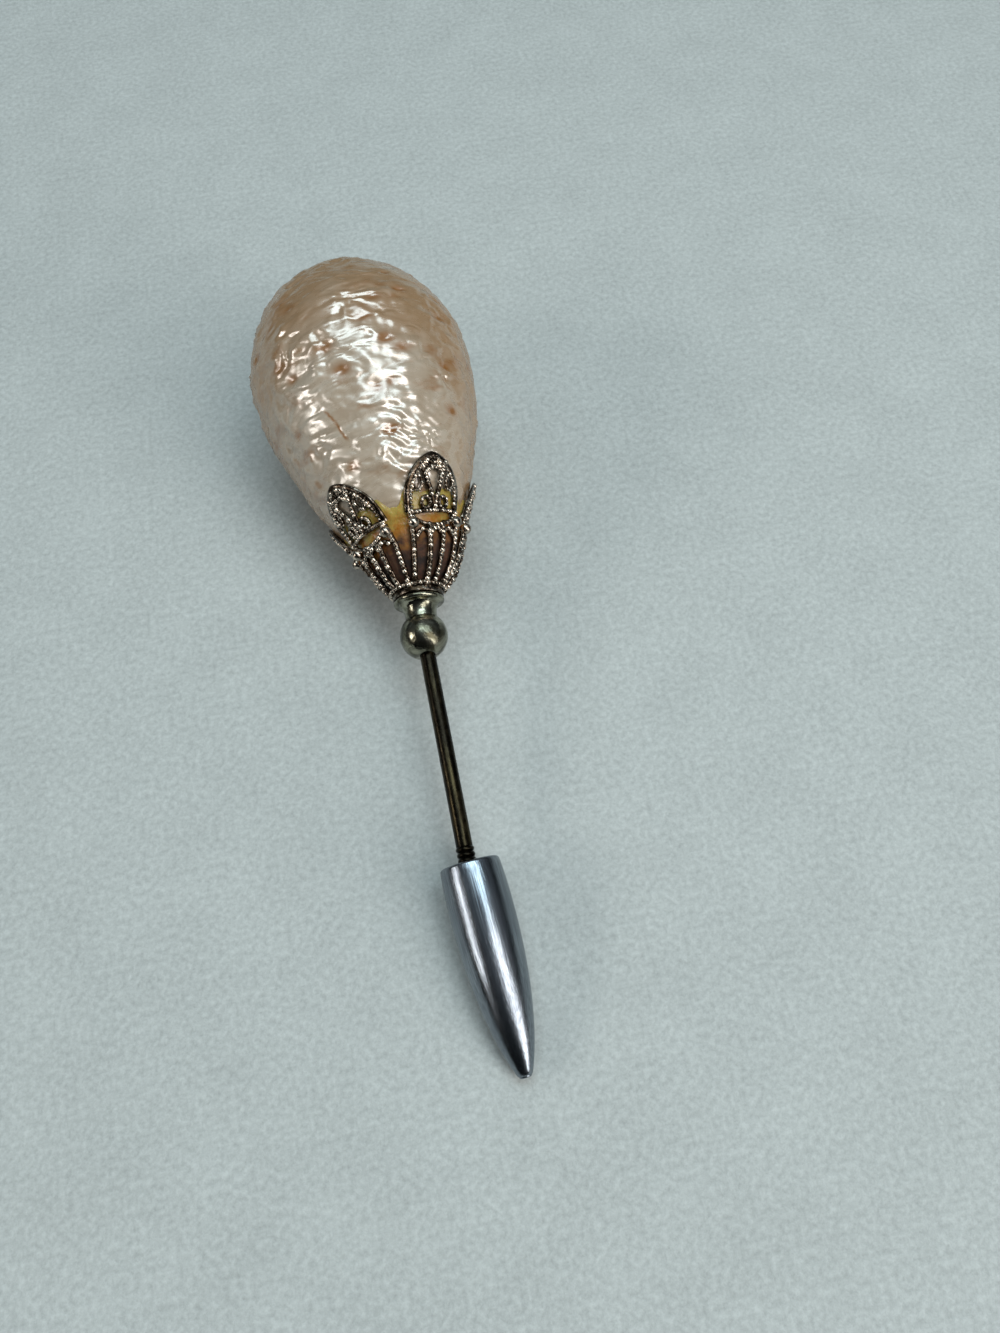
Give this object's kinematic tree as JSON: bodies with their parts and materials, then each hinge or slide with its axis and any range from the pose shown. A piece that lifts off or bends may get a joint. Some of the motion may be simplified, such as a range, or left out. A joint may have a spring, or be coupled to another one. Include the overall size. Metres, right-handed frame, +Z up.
{
  "type": "stick pin",
  "caption": "Straight stick pin with a wrinkled baroque pearl in a pierced silver petal cap, a turned finial and a bullet-shaped guard that pulls off the point.",
  "frame": {"origin": "middle of the base of the part's box, on the surface that it lies on", "axes": "+Y along the pin toward the pearl, -Y toward the guard's tip, +Z up from the surface"},
  "size_m": [0.0176, 0.0636, 0.0175],
  "materials": {
    "pearl_coat": "pearly coat over a wrinkled bead",
    "amber_cement": "clear amber, set hard",
    "antique_silver": "antiqued, dark in the recesses",
    "tarnished_metal": "polished, tarnished olive grey",
    "dark_stem": "smooth, blackened",
    "satin_silver": "satin plate with fine dark streaks",
    "black_rubber": "matt"
  },
  "bodies": {
    "main": {"pearl": "pearl_coat", "cement": "amber_cement", "filigree_cap": "antique_silver", "finial": "tarnished_metal", "pin_stem": "dark_stem"},
    "guard": {"guard": "satin_silver", "guard_insert": "black_rubber"}
  },
  "joints": [
    {"name": "guard_slide", "type": "slide", "parent": "main", "child": "guard", "axis": [0, -0.9906, -0.1367], "range_m": [0, 0.02]}
  ]
}
